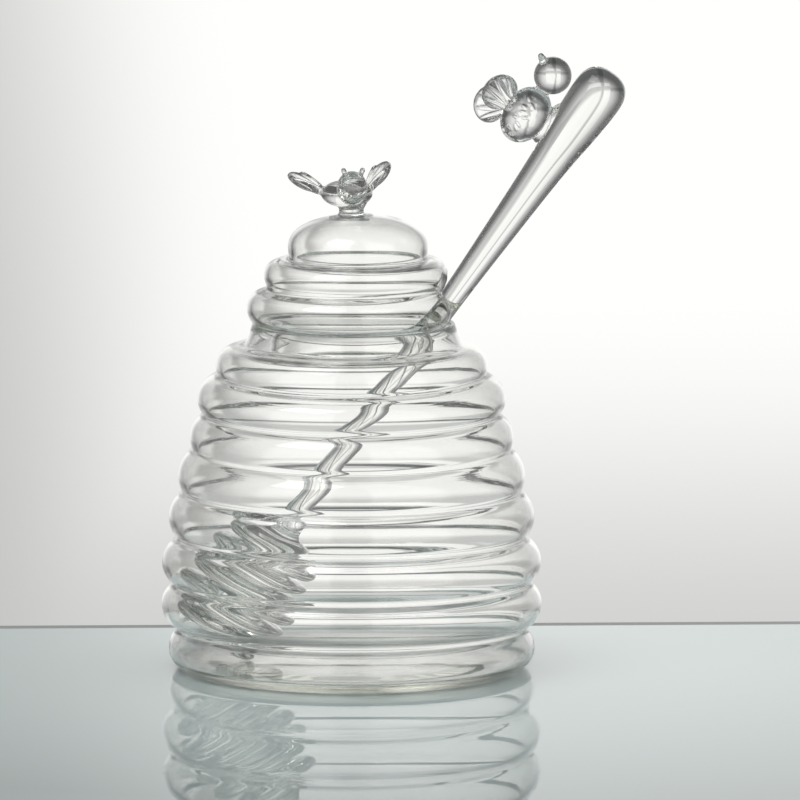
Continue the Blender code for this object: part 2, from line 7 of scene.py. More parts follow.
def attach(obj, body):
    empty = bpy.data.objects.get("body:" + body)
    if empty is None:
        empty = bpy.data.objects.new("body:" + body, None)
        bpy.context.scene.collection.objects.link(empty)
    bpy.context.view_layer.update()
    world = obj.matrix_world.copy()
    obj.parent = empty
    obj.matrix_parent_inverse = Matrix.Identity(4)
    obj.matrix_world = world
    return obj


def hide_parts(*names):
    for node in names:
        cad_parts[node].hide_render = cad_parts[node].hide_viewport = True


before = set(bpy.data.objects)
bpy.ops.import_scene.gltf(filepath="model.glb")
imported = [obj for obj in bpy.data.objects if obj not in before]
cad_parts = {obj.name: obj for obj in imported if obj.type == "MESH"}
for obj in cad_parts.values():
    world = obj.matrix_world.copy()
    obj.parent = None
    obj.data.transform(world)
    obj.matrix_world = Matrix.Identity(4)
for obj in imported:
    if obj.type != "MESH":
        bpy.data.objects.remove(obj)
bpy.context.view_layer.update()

MM = 0.001


# The jar
# A beehive of eight rolls, blown from clear borosilicate tube and pinched in with a blade between the
# rolls while it turned in the flame. The short neck is left open and its lip is melted round.
JAR_STEPS = 176
JAR_WALL = 1.4 * MM
JAR_FLOOR = 2.6 * MM
MOUTH_HEIGHT = 99.1 * MM
# Each roll, from the base up, as (radius of its crest, height of its crest).
JAR_CRESTS = (
    (52.4 * MM, 5.6 * MM),
    (54.4 * MM, 18.3 * MM),
    (54.2 * MM, 30.5 * MM),
    (52.2 * MM, 43.5 * MM),
    (49.5 * MM, 55.1 * MM),
    (46.1 * MM, 66.6 * MM),
    (44.0 * MM, 77.4 * MM),
    (38.7 * MM, 86.9 * MM),
)
# Each pinched crease between two rolls, as (radius, height, how far its front is raised by hand).
JAR_CREASES = (
    (49.4 * MM, 11.6 * MM, 0.9 * MM),
    (50.6 * MM, 24.4 * MM, 0.9 * MM),
    (49.4 * MM, 37.4 * MM, 0.9 * MM),
    (48.2 * MM, 50.6 * MM, 0.0 * MM),
    (45.4 * MM, 62.8 * MM, -1.2 * MM),
    (42.0 * MM, 73.0 * MM, -0.7 * MM),
    (38.0 * MM, 84.0 * MM, -1.3 * MM),
)
HEEL_RADIUS = 5.6 * MM
SHOULDER_RADIUS = 5.8 * MM
NECK_RADIUS = 29.0 * MM
NECK_FLARE = 0.6 * MM
NECK_FOOT_RADIUS = 30.3 * MM
# The hollow round that leads from the neck into the shoulder: its radius, and its centre below the mouth.
HOLLOW_RADIUS = 2 * MM
HOLLOW_DROP = 4.4 * MM
# How far round a pinched crease the blade tips the wall with it.
CREASE_REACH = 7 * MM
NECK_SHIFT = 0.6 * MM


def round_points(centre, radius, start, end, count):
    """Points round a circle, from one angle to another in degrees, as (radius from the axis, height)."""
    points = []
    for i in range(count + 1):
        angle = math.radians(start + (end - start) * i / count)
        points.append((centre[0] + radius * math.cos(angle), centre[1] + radius * math.sin(angle)))
    return points


def half_roll(crest, crease, count):
    """The round side of a roll, from its upright crest to the crease above or below it."""
    inward = crest[0] - crease[0]
    along = crease[1] - crest[1]
    radius = (inward * inward + along * along) / (2 * inward)
    turn = math.degrees(math.atan2(along, radius - inward))
    return round_points((crest[0] - radius, crest[1]), radius, 0, turn, count)


def softened(points, times):
    """An outline whose corners the flame has rounded. Its two ends stay where they are."""
    for _ in range(times):
        middle = [
            tuple((before[k] + 2 * point[k] + after[k]) / 4 for k in (0, 1))
            for before, point, after in zip(points, points[1:], points[2:])
        ]
        points = [points[0], *middle, points[-1]]
    return points


def one_wall_in(points, wall):
    """The inner side of a wall whose outer side runs down from its top, point for point."""
    inner = []
    for i in range(len(points)):
        before = points[max(i - 1, 0)]
        after = points[min(i + 1, len(points) - 1)]
        run = Vector((after[0] - before[0], after[1] - before[1])).normalized()
        inner.append((max(points[i][0] + wall * run.y, 0.0), points[i][1] - wall * run.x))
    return inner


def turned_piece(name, outline, steps):
    """A piece turned about the upright axis from its outline, which is drawn point by point and spun."""
    bpy.ops.object.select_all(action="DESELECT")
    bpy.ops.mesh.primitive_plane_add(size=MM, location=(outline[0][0], 0, outline[0][1]))
    piece = bpy.context.object
    piece.name = piece.data.name = name
    bpy.ops.object.mode_set(mode="EDIT")
    bpy.ops.mesh.merge(type="CENTER")
    for here, there in zip(outline, outline[1:]):
        step = (there[0] - here[0], 0, there[1] - here[1])
        bpy.ops.mesh.extrude_region_move(TRANSFORM_OT_translate={"value": step})
    bpy.ops.mesh.select_all(action="SELECT")
    bpy.ops.mesh.spin(steps=steps, angle=2 * math.pi, center=(0, 0, 0), axis=(0, 0, 1))
    bpy.ops.mesh.select_all(action="SELECT")
    bpy.ops.mesh.remove_doubles(threshold=0.00001)
    bpy.ops.mesh.normals_make_consistent(inside=False)
    bpy.ops.object.mode_set(mode="OBJECT")
    bpy.ops.object.transform_apply(location=True, rotation=True, scale=True)
    bpy.ops.object.shade_smooth()
    return piece


def select_where(piece, test):
    """Puts a piece in edit mode with only the points selected whose place passes the test."""
    bpy.ops.object.select_all(action="DESELECT")
    piece.select_set(True)
    bpy.context.view_layer.objects.active = piece
    bpy.ops.object.mode_set(mode="EDIT")
    bpy.ops.mesh.select_mode(type="VERT")
    bpy.ops.mesh.select_all(action="DESELECT")
    bpy.ops.object.mode_set(mode="OBJECT")
    for vertex in piece.data.vertices:
        vertex.select = test(vertex.co)
    bpy.ops.object.mode_set(mode="EDIT")


def linear(hex_colour):
    """An sRGB hex colour as Blender's linear RGBA."""
    channels = [int(hex_colour[i : i + 2], 16) / 255 for i in (1, 3, 5)]
    return (*[c / 12.92 if c <= 0.04045 else ((c + 0.055) / 1.055) ** 2.4 for c in channels], 1.0)


def add_node(tree, kind, settings=None, links=None):
    """Adds a node with its settings and socket values, and links its sockets from other nodes' outputs."""
    node = tree.nodes.new(kind)
    for key, value in (settings or {}).items():
        if isinstance(key, int) or key in node.inputs:
            node.inputs[key].default_value = value
        else:
            setattr(node, key, value)
    for key, output in (links or {}).items():
        tree.links.new(output, node.inputs[key])
    return node


def borosilicate(name, wave_size, wave_depth, tint, depth_colour, depth_density):
    """Fire-polished borosilicate glass: clear and smooth, with the slow waves of handwork in its surface."""
    material = bpy.data.materials.new(name)
    material.use_nodes = True
    tree = material.node_tree
    tree.nodes.clear()
    place = add_node(tree, "ShaderNodeTexCoord")
    waves = add_node(
        tree,
        "ShaderNodeTexNoise",
        {"Scale": 1 / wave_size, "Detail": 1.5, "Roughness": 0.4},
        {"Vector": place.outputs["Object"]},
    )
    ripple = add_node(
        tree,
        "ShaderNodeBump",
        {"Strength": 1.0, "Distance": wave_depth},
        {"Height": waves.outputs["Fac"]},
    )
    smear = add_node(
        tree,
        "ShaderNodeTexNoise",
        {"Scale": 55.0, "Detail": 4.0, "Roughness": 0.6},
        {"Vector": place.outputs["Object"]},
    )
    polish = add_node(
        tree,
        "ShaderNodeMapRange",
        {"From Min": 0.55, "From Max": 0.75, "To Min": 0.0, "To Max": 0.03},
        {"Value": smear.outputs["Fac"]},
    )
    glass = add_node(
        tree,
        "ShaderNodeBsdfPrincipled",
        {"Base Color": tint, "IOR": 1.473, "Transmission Weight": 1.0, "Metallic": 0.0},
        {"Roughness": polish.outputs["Result"], "Normal": ripple.outputs["Normal"]},
    )
    depth = add_node(
        tree,
        "ShaderNodeVolumeAbsorption",
        {"Color": depth_colour, "Density": depth_density},
    )
    add_node(
        tree,
        "ShaderNodeOutputMaterial",
        None,
        {"Surface": glass.outputs["BSDF"], "Volume": depth.outputs["Volume"]},
    )
    return material


jar_outside = [
    (NECK_RADIUS, MOUTH_HEIGHT - JAR_WALL / 2),
    (NECK_RADIUS + NECK_FLARE, MOUTH_HEIGHT - 3 * MM),
]
hollow_centre = (NECK_FOOT_RADIUS + HOLLOW_RADIUS, MOUTH_HEIGHT - HOLLOW_DROP)
jar_outside += round_points(hollow_centre, HOLLOW_RADIUS, 192, 262, 6)
shoulder_centre = (JAR_CRESTS[-1][0] - SHOULDER_RADIUS, JAR_CRESTS[-1][1])
jar_outside += round_points(shoulder_centre, SHOULDER_RADIUS, 82, 0, 10)
for below, crease, above in reversed(list(zip(JAR_CRESTS, JAR_CREASES, JAR_CRESTS[1:]))):
    jar_outside += half_roll(above, crease, 10)[1:]
    jar_outside += half_roll(below, crease, 10)[::-1][1:]
heel_centre = (JAR_CRESTS[0][0] - HEEL_RADIUS, HEEL_RADIUS)
jar_outside += round_points(heel_centre, HEEL_RADIUS, 0, -90, 10)[1:]
jar_outside = softened(jar_outside, 3)
jar_inside = [p for p in softened(one_wall_in(jar_outside, JAR_WALL), 1) if p[1] > JAR_FLOOR + 0.4 * MM]
lip = round_points((NECK_RADIUS - JAR_WALL / 2, MOUTH_HEIGHT - JAR_WALL / 2), JAR_WALL / 2, 165, 15, 8)
floor_edge = (jar_inside[-1][0] - 2.5 * MM, JAR_FLOOR)
jar_outline = [(0, JAR_FLOOR), (20 * MM, JAR_FLOOR), (40 * MM, JAR_FLOOR), floor_edge]
jar_outline += jar_inside[:0:-1] + lip + jar_outside[1:] + [(30 * MM, 0), (15 * MM, 0), (0, 0)]
jar = turned_piece("blown_jar", jar_outline, JAR_STEPS)
# Each pinch was made by eye, so its ring tips a little towards the front or the back.
for radius, height, front_rise in JAR_CREASES:
    select_where(jar, lambda co: abs(co.z - height) < 1.2 * MM)
    bpy.ops.transform.rotate(
        value=front_rise / radius,
        orient_axis="X",
        center_override=(0, 0, height),
        use_proportional_edit=True,
        proportional_edit_falloff="SMOOTH",
        proportional_size=CREASE_REACH,
    )
    bpy.ops.object.mode_set(mode="OBJECT")
# The neck was drawn a little to the right of the rolls.
select_where(jar, lambda co: co.z > 93 * MM)
bpy.ops.transform.translate(
    value=(NECK_SHIFT, 0, 0),
    use_proportional_edit=True,
    proportional_edit_falloff="SMOOTH",
    proportional_size=5 * MM,
)
bpy.ops.object.mode_set(mode="OBJECT")
thin_glass = borosilicate(
    "clear_blown_borosilicate", 16 * MM, 0.10 * MM, linear("#FFFFFE"), linear("#E2E6CE"), 5.0
)
jar.data.materials.append(thin_glass)
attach(jar, "jar")
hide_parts("jar")


# The lid
# A smaller hive of three rolls, blown and pinched like the jar, with a ring below its rolled rim that drops
# inside the neck. A notch for the dipper's stem is cut through the rim and its lips are melted round.
LID_WALL = 1.4 * MM
LID_STEPS = 144
RIM_CENTRE = (23.9 * MM, 103.32 * MM)
RIM_RADIUS = 5.6 * MM
LOWER_CREASE = (25.0 * MM, 109.3 * MM)
MIDDLE_CREST = (26.3 * MM, 112.8 * MM)
UPPER_CREASE = (19.6 * MM, 117.3 * MM)
DOME_CREST = (20.0 * MM, 121.3 * MM)
DOME_TOP = 130.4 * MM
DOME_STEPS = 22
# 1 is an ellipse, and less is fuller at the shoulder.
DOME_FULLNESS = 0.96
RING_RADIUS = 23.4 * MM
# The ring's straight side, from the rim down to where its foot is melted round, in millimetres.
RING_HEIGHTS = (97.2, 96.2, 95.2, 94.2, 93.2, 92.4, 91.7)
# The rolls aren't quite on one axis. Each step here moves all that is above a height to the right.
LID_SHIFTS = ((0, 0.4 * MM), (98 * MM, -0.75 * MM), (109.3 * MM, 1.65 * MM), (116.8 * MM, 0.6 * MM))
# The dipper leans in the notch: its tip, and the ways up along its stem and square to it to the upper left.
DIPPER_LEAN = math.radians(35.3106)
DIPPER_TIP = Vector((-42.15 * MM, 0, 6.38 * MM))
DIPPER_UP = Vector((math.sin(DIPPER_LEAN), 0, math.cos(DIPPER_LEAN)))
DIPPER_LEFT = Vector((-math.cos(DIPPER_LEAN), 0, math.sin(DIPPER_LEAN)))

lid_outside = [(0, DOME_TOP)]
for i in range(1, DOME_STEPS):
    turn = math.radians(90 - 90 * i / DOME_STEPS)
    reach = DOME_CREST[0] * math.cos(turn) ** DOME_FULLNESS
    rise = (DOME_TOP - DOME_CREST[1]) * math.sin(turn) ** DOME_FULLNESS
    lid_outside.append((reach, DOME_CREST[1] + rise))
lid_outside += half_roll(DOME_CREST, UPPER_CREASE, 8)
lid_outside += half_roll(MIDDLE_CREST, UPPER_CREASE, 12)[::-1][1:]
lid_outside += half_roll(MIDDLE_CREST, LOWER_CREASE, 6)[1:]
rim_start = math.degrees(math.atan2(LOWER_CREASE[1] - RIM_CENTRE[1], LOWER_CREASE[0] - RIM_CENTRE[0]))
lid_outside += round_points(RIM_CENTRE, RIM_RADIUS, rim_start, 0, 10)[1:]
rim_end = -math.degrees(math.acos((RING_RADIUS - RIM_CENTRE[0]) / RIM_RADIUS))
lid_outside += round_points(RIM_CENTRE, RIM_RADIUS, 0, rim_end, 12)[1:]
lid_outside += [(RING_RADIUS, height * MM) for height in RING_HEIGHTS]
lid_outside = softened(lid_outside, 2)
lid_inside = softened(one_wall_in(lid_outside, LID_WALL), 1)
ring_foot = round_points((RING_RADIUS - LID_WALL / 2, RING_HEIGHTS[-1] * MM), LID_WALL / 2, -15, -165, 8)
lid = turned_piece("lid_shell_and_bee", lid_outside + ring_foot + lid_inside[::-1], LID_STEPS)
for height, shift in LID_SHIFTS:
    select_where(lid, lambda co: co.z > height)
    bpy.ops.transform.translate(
        value=(shift, 0, 0),
        use_proportional_edit=True,
        proportional_edit_falloff="SMOOTH",
        proportional_size=2.5 * MM,
    )
    bpy.ops.object.mode_set(mode="OBJECT")

# The notch's tool is an arched bar that lies over the dipper's stem and runs out past the rim.
NOTCH_HALF_WIDTH = 5.8 * MM
NOTCH_HALF_LENGTH = 19 * MM
NOTCH_RISE = 5.2 * MM
NOTCH_MIDDLE = 115 * MM
bpy.ops.object.select_all(action="DESELECT")
bpy.ops.mesh.primitive_cylinder_add(vertices=48, radius=1, depth=2)
notch_bar = bpy.context.object
select_where(notch_bar, lambda co: co.x > 0.1)
bpy.ops.transform.translate(value=(6, 0, 0))
bpy.ops.object.mode_set(mode="OBJECT")
notch_bar.matrix_world = (
    Matrix.Translation(DIPPER_TIP + DIPPER_UP * NOTCH_MIDDLE)
    @ Matrix.Rotation(DIPPER_LEAN, 4, "Y")
    @ Matrix.Diagonal((NOTCH_RISE, NOTCH_HALF_WIDTH, NOTCH_HALF_LENGTH, 1))
)
cut = lid.modifiers.new("notch", "BOOLEAN")
cut.operation = "DIFFERENCE"
cut.solver = "EXACT"
cut.object = notch_bar
bpy.context.view_layer.objects.active = lid
bpy.ops.object.modifier_apply(modifier=cut.name)
# The cut's lips are melted round: its points run towards their neighbours.
into_bar = notch_bar.matrix_world.inverted()


def on_cut(co):
    """Whether a point of the lid lies on the notch's face."""
    spot = into_bar @ co
    across = spot.y if spot.x > 0 else math.hypot(spot.x, spot.y)
    return abs(abs(across) - 1) < 0.03 and abs(spot.z) < 1.02


select_where(lid, on_cut)
bpy.ops.mesh.vertices_smooth(factor=0.5, repeat=3)
bpy.ops.object.mode_set(mode="OBJECT")
bpy.data.objects.remove(notch_bar)


# The bee on the lid
# Its knob: solid rod melted into a post, a flat oval body, a round head with two feelers, and two wings
# pressed from hot gathers. All of it is fused to the dome, so it is made in one with the lid.
BEE_VOXEL = 0.24 * MM
SLIVER = 0.01 * MM
BEE_FRAME = Matrix.Translation((-1.3 * MM, 1.6 * MM, 135.9 * MM)) @ Matrix.Rotation(math.radians(8), 4, "Z")
# The post's outline, as (radius, height) in millimetres: waisted, with its foot spread over the dome.
POST_OUTLINE = (
    (0, 133.4),
    (4.4, 133.4),
    (3.6, 131.9),
    (3.5, 130.9),
    (4.0, 130.0),
    (4.9, 129.5),
    (5.4, 129.0),
    (5.2, 128.2),
    (0, 128.2),
)


def gather(name, frame_matrix, place, sizes, turn=(0, 0, 0)):
    """A rounded gather of glass: a ball drawn out to its half sizes, set at a place in a bee's frame."""
    bpy.ops.object.select_all(action="DESELECT")
    bpy.ops.mesh.primitive_uv_sphere_add(segments=32, ring_count=20, radius=1)
    piece = bpy.context.object
    piece.name = name
    local = Matrix.Translation(place)
    for angle, axis in zip(turn, "XYZ"):
        local = local @ Matrix.Rotation(math.radians(angle), 4, axis)
    piece.matrix_world = frame_matrix @ local @ Matrix.Diagonal((*sizes, 1))
    bpy.ops.object.transform_apply(location=True, rotation=True, scale=True)
    return piece


def pressed_wing(length, width, thickness, ribs, spread, matrix):
    """A wing pressed with a ribbed paddle: a blunt leaf, and ribs on it that fan out from its root."""
    parts = [gather("leaf", matrix, (0.60 * length, 0, 0), (0.40 * length, 0.5 * width, 1.2 * thickness))]
    for k in range(ribs):
        share = 2 * k / (ribs - 1) - 1
        rib_frame = matrix @ Matrix.Rotation(math.radians(spread * share), 4, "Z")
        reach = length * (0.97 - 0.10 * share * share)
        sizes = (0.47 * length, 0.40 * width / ribs, 1.7 * thickness)
        parts.append(gather("rib", rib_frame, (reach - sizes[0], 0, 0.5 * MM * share * share), sizes))
    return parts


def wing_place(frame_matrix, root, out, face):
    """Where a wing goes: rooted at a point of the bee's frame, reaching one way and facing another."""
    reach = Vector(out).normalized()
    over = (Vector(face) - reach * reach.dot(Vector(face))).normalized()
    turn = Matrix((reach, over.cross(reach), over)).transposed().to_4x4()
    return frame_matrix @ Matrix.Translation(root) @ turn


def feeler(frame_matrix, side, foot, beads):
    """A feeler drawn out of the head: a row of beads out and forwards, as (way along it, radius) in mm."""
    way = Vector((side * 0.36, -0.38, 0.85))
    return [
        gather("bead", frame_matrix, foot + way * along * MM, (radius * MM,) * 3) for along, radius in beads
    ]


def melted(name, parts, smoothing):
    """Joins gathers that run into each other, and lets the flame round the inner corners between them."""
    bpy.ops.object.select_all(action="DESELECT")
    for part in parts:
        part.select_set(True)
    bpy.context.view_layer.objects.active = parts[0]
    bpy.ops.object.join()
    piece = bpy.context.object
    piece.name = name
    skin = piece.modifiers.new("skin", "REMESH")
    skin.mode = "VOXEL"
    skin.voxel_size = BEE_VOXEL
    bpy.ops.object.modifier_apply(modifier=skin.name)
    flow = piece.modifiers.new("flow", "SMOOTH")
    flow.factor = 0.5
    flow.iterations = smoothing
    bpy.ops.object.modifier_apply(modifier=flow.name)
    bpy.ops.object.shade_smooth()
    return piece


def select_flaps(mesh):
    """Selects only the faces with a triangle back to back with another's, and those with an open edge."""
    mesh.calc_loop_triangles()
    owners = {}
    for triangle in mesh.loop_triangles:
        owners.setdefault(tuple(sorted(triangle.vertices)), []).append(triangle.polygon_index)
    doubled = {face for faces in owners.values() if len(faces) > 1 for face in faces}
    uses = {}
    for face in mesh.polygons:
        for edge in face.edge_keys:
            uses[edge] = uses.get(edge, 0) + 1
    for face in mesh.polygons:
        face.select = face.index in doubled or any(uses[edge] == 1 for edge in face.edge_keys)


def fuse(piece, other):
    """Makes two pieces one solid, as where hot glass is set on hot glass."""
    weld = piece.modifiers.new("weld", "BOOLEAN")
    weld.operation = "UNION"
    weld.solver = "EXACT"
    weld.object = other
    bpy.ops.object.select_all(action="DESELECT")
    piece.select_set(True)
    bpy.context.view_layer.objects.active = piece
    bpy.ops.object.modifier_apply(modifier=weld.name)
    bpy.data.objects.remove(other)
    # The weld leaves slivers along its seam: points that all but meet, and flaps of two faces back to back.
    bpy.ops.object.mode_set(mode="EDIT")
    bpy.ops.mesh.select_mode(type="VERT")
    bpy.ops.mesh.select_all(action="SELECT")
    bpy.ops.mesh.remove_doubles(threshold=SLIVER)
    bpy.ops.mesh.dissolve_degenerate(threshold=SLIVER / 2)
    bpy.ops.mesh.select_all(action="DESELECT")
    bpy.ops.mesh.select_mode(type="FACE")
    bpy.ops.object.mode_set(mode="OBJECT")
    select_flaps(piece.data)
    bpy.ops.object.mode_set(mode="EDIT")
    bpy.ops.mesh.quads_convert_to_tris(quad_method="FIXED", ngon_method="CLIP")
    bpy.ops.object.mode_set(mode="OBJECT")
    select_flaps(piece.data)
    bpy.ops.object.mode_set(mode="EDIT")
    bpy.ops.mesh.delete(type="ONLY_FACE")
    bpy.ops.mesh.select_all(action="SELECT")
    bpy.ops.mesh.delete_loose(use_verts=True, use_edges=True, use_faces=False)
    bpy.ops.mesh.select_mode(type="VERT")
    bpy.ops.object.mode_set(mode="OBJECT")
    bpy.ops.object.shade_smooth()


lid_bee_parts = [
    turned_piece("post", [(radius * MM, height * MM) for radius, height in POST_OUTLINE], 48),
    gather("body", BEE_FRAME, (0, 0.2 * MM, 0), (7.4 * MM, 8.2 * MM, 3.9 * MM)),
    gather("head", BEE_FRAME, (0, -10.9 * MM, 2.9 * MM), (4.4 * MM, 4.5 * MM, 4.9 * MM)),
]
for side, out, face in (
    (-1, (0.72, 0.55, 0.42), (-0.45, -0.62, 0.60)),
    (1, (0.51, 0.59, 0.62), (-0.52, -0.48, 0.66)),
):
    root = (side * 5.6 * MM, 0.6 * MM, -0.6 * MM)
    matrix = wing_place(BEE_FRAME, root, (side * out[0], out[1], out[2]), (side * face[0], face[1], face[2]))
    lid_bee_parts += pressed_wing(13.9 * MM, 6.8 * MM, 0.8 * MM, 3, 13.0, matrix)
    foot = Vector((side * 1.9 * MM, -12.4 * MM, 6.4 * MM))
    beads = ((0, 1.15), (0.6, 0.95), (1.1, 0.8), (1.6, 0.7), (2.2, 0.8))
    lid_bee_parts += feeler(BEE_FRAME, side, foot, beads)
lid_bee = melted("lid_bee", lid_bee_parts, 6)
fuse(lid, lid_bee)
lid.data.materials.append(thin_glass)
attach(lid, "lid")
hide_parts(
    "lid_shell",
    "lid_knob_post",
    "lid_bee_body",
    "lid_bee_head",
    "lid_bee_left_wing",
    "lid_bee_right_wing",
    "lid_bee_left_feeler",
    "lid_bee_right_feeler",
)


# The dipper
# One solid rod of the same glass: five discs squeezed out at its foot hold the honey, the stem lies on the
# neck's lip in the lid's notch, and the handle swells to a round end.
DISCS = (13.2 * MM, 17.8 * MM, 17.0 * MM, 16.0 * MM, 14.5 * MM)
DISC_PITCH = 7.0 * MM
FIRST_DISC = 6.2 * MM
DISC_EDGE = 2.4 * MM
CORE_RADIUS = 7.0 * MM
STEM_RADIUS = 3.3 * MM
HANDLE_BASE = 117.0 * MM
# The handle's outline above its base, as (height, radius) in millimetres.
SWELL = ((-34.0, 3.3), (0.0, 3.3), (34.0, 4.6), (54.0, 5.7), (67.0, 7.0), (76.6, 7.5), (84.0, 6.9))
# The handle's round end starts at the last but one of these. 1 is an ellipse, and less is squarer.
END_BASE, END_RADIUS = SWELL[-2]
END_RISE = 7.7 * MM
END_FULLNESS = 0.8

dipper_outline = [(0, 0), (2.5 * MM, 0.6 * MM), (4.4 * MM, 2.4 * MM), (5.4 * MM, 3.6 * MM)]
for i, radius in enumerate(DISCS):
    middle = FIRST_DISC + i * DISC_PITCH
    dipper_outline += round_points((radius - DISC_EDGE, middle), DISC_EDGE, -80, 80, 10)
    if i < len(DISCS) - 1:
        groove = middle + DISC_PITCH / 2
        dipper_outline += [(CORE_RADIUS + 1.2 * MM, groove - 0.6 * MM), (CORE_RADIUS, groove)]
        dipper_outline += [(CORE_RADIUS + 1.2 * MM, groove + 0.6 * MM)]
dipper_outline += [(7.0 * MM, 38.2 * MM), (5.0 * MM, 39.6 * MM)]
dipper_outline += [(3.8 * MM, 41.2 * MM), (STEM_RADIUS, 43.5 * MM)]
dipper_outline += [(STEM_RADIUS, height * MM) for height in range(48, 114, 5)]
for i in range(1, len(SWELL) - 2):
    (h0, r0), (h1, r1), (h2, r2), (h3, r3) = SWELL[i - 1 : i + 3]
    leave = (r2 - r0) / (h2 - h0) * (h2 - h1)
    arrive = (r3 - r1) / (h3 - h1) * (h2 - h1)
    for k in range(8):
        t = k / 8
        radius = (2 * t**3 - 3 * t**2 + 1) * r1 + (t**3 - 2 * t**2 + t) * leave
        radius += (3 * t**2 - 2 * t**3) * r2 + (t**3 - t**2) * arrive
        dipper_outline.append((radius * MM, HANDLE_BASE + (h1 + (h2 - h1) * t) * MM))
for i in range(15):
    turn = math.radians(90 * i / 14)
    reach = END_RADIUS * MM * max(math.cos(turn), 0.0) ** END_FULLNESS
    dipper_outline.append((reach, HANDLE_BASE + END_BASE * MM + END_RISE * math.sin(turn) ** END_FULLNESS))
dipper_outline[-1] = (0, dipper_outline[-1][1])
dipper = turned_piece("dipper_rod_and_bee", softened(dipper_outline, 1)[::-1], 96)
dipper.matrix_world = Matrix.Translation(DIPPER_TIP) @ Matrix.Rotation(DIPPER_LEAN, 4, "Y")
bpy.ops.object.transform_apply(location=True, rotation=True, scale=True)


# The bee on the dipper
# It clings to the upper side of the handle, head up, on a small pad of greenish glass. Its two ribbed wings
# are pressed in one with its back.
STAND_OFF = 13.3 * MM
BODY_STATION = 177.3 * MM
BODY_HALF_SIZES = (6.4 * MM, 8.6 * MM, 6.6 * MM)
FOLDS = 11
FOLD_PITCH = 1.25 * MM
body_middle = DIPPER_TIP + DIPPER_UP * BODY_STATION + DIPPER_LEFT * STAND_OFF
bee_axes = Matrix((Vector((0, -1, 0)), -DIPPER_UP, DIPPER_LEFT)).transposed().to_4x4()
DIPPER_BEE_FRAME = Matrix.Translation(body_middle) @ bee_axes
dipper_bee_parts = [
    gather("body", DIPPER_BEE_FRAME, (0, 0, 0), BODY_HALF_SIZES),
    gather("head", DIPPER_BEE_FRAME, (0, -13.5 * MM, 0.2 * MM), (5.4 * MM, 5.4 * MM, 5.4 * MM)),
    gather("pad", DIPPER_BEE_FRAME, (0, -1.8 * MM, -6.7 * MM), (3.2 * MM, 6.8 * MM, 2.1 * MM)),
]
for side, out in ((-1, (-0.30, 0.44, 0.84)), (1, (0.30, -0.26, 0.92))):
    root = (side * 3.2 * MM, 0.5 * MM, 3.2 * MM)
    matrix = wing_place(DIPPER_BEE_FRAME, root, out, (side * -0.92, 0.0, 0.30))
    dipper_bee_parts += pressed_wing(12.6 * MM, 11.0 * MM, 0.95 * MM, 4, 26.0, matrix)
    foot = Vector((side * 1.9 * MM, -15.2 * MM, 4.4 * MM))
    beads = ((0, 1.35), (0.5, 1.2), (0.9, 1.05), (1.3, 0.95), (1.8, 0.9))
    dipper_bee_parts += feeler(DIPPER_BEE_FRAME, side, foot, beads)
# The near wing's root was pressed into the body's flank and left a row of folds there.
for k in range(FOLDS):
    along = (k - FOLDS // 2) * FOLD_PITCH
    fold = 1.15 * MM + 1.1 * MM * math.sin(2.3 * k)
    flank_share = 1 - (along / BODY_HALF_SIZES[1]) ** 2 - (fold / BODY_HALF_SIZES[2]) ** 2
    sizes = (0.9 * MM, 0.45 * MM, 1.2 * MM)
    place = (6.3 * MM * math.sqrt(flank_share), along + 0.4 * MM, fold)
    dipper_bee_parts.append(gather("fold", DIPPER_BEE_FRAME, place, sizes, (35 * math.sin(k), 0, 0)))
dipper_bee = melted("dipper_bee", dipper_bee_parts, 6)
fuse(dipper, dipper_bee)
rod_glass = borosilicate(
    "clear_solid_borosilicate", 22 * MM, 0.05 * MM, linear("#FFFFFE"), linear("#E2E6CE"), 3.0
)
dipper.data.materials.append(rod_glass)
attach(dipper, "dipper")
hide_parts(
    "dipper_head",
    "dipper_handle",
    "dipper_bee_pad",
    "dipper_bee_body",
    "dipper_bee_head",
    "dipper_bee_left_wing",
    "dipper_bee_right_wing",
    "dipper_bee_left_feeler",
    "dipper_bee_right_feeler",
)


# The table
# A plain pale glass top, glossy enough to mirror the pot, with a pool of light painted into its colour,
# brightest just behind it. The table ends there in a ground edge that runs a little askew.
TABLE_FRONT = -530 * MM
TABLE_BACK = 69.0 * MM
TABLE_WIDTH = 1.5
TABLE_SKEW = math.radians(1.9)
EDGE_DEPTH = 5.2 * MM
# The middle of the painted pool of light, and how far from it the painted shade starts and ends to deepen,
# in metres.
PAINTED_LIGHT_MIDDLE = (0.03, 0.05, 0.0)
PAINTED_LIGHT_WITHIN = 0.03
PAINTED_SHADE_BEYOND = 0.27


def table_piece(name, near, far):
    """A flat strip of the table between two distances behind the pot's axis."""
    bpy.ops.object.select_all(action="DESELECT")
    bpy.ops.mesh.primitive_plane_add(size=1)
    piece = bpy.context.object
    piece.name = name
    piece.scale = (TABLE_WIDTH, far - near, 1)
    piece.location = (0, (near + far) / 2, -0.05 * MM)
    bpy.ops.object.transform_apply(location=True, rotation=True, scale=True)
    piece.rotation_euler = (0, 0, TABLE_SKEW)
    bpy.ops.object.transform_apply(location=True, rotation=True, scale=True)
    return piece


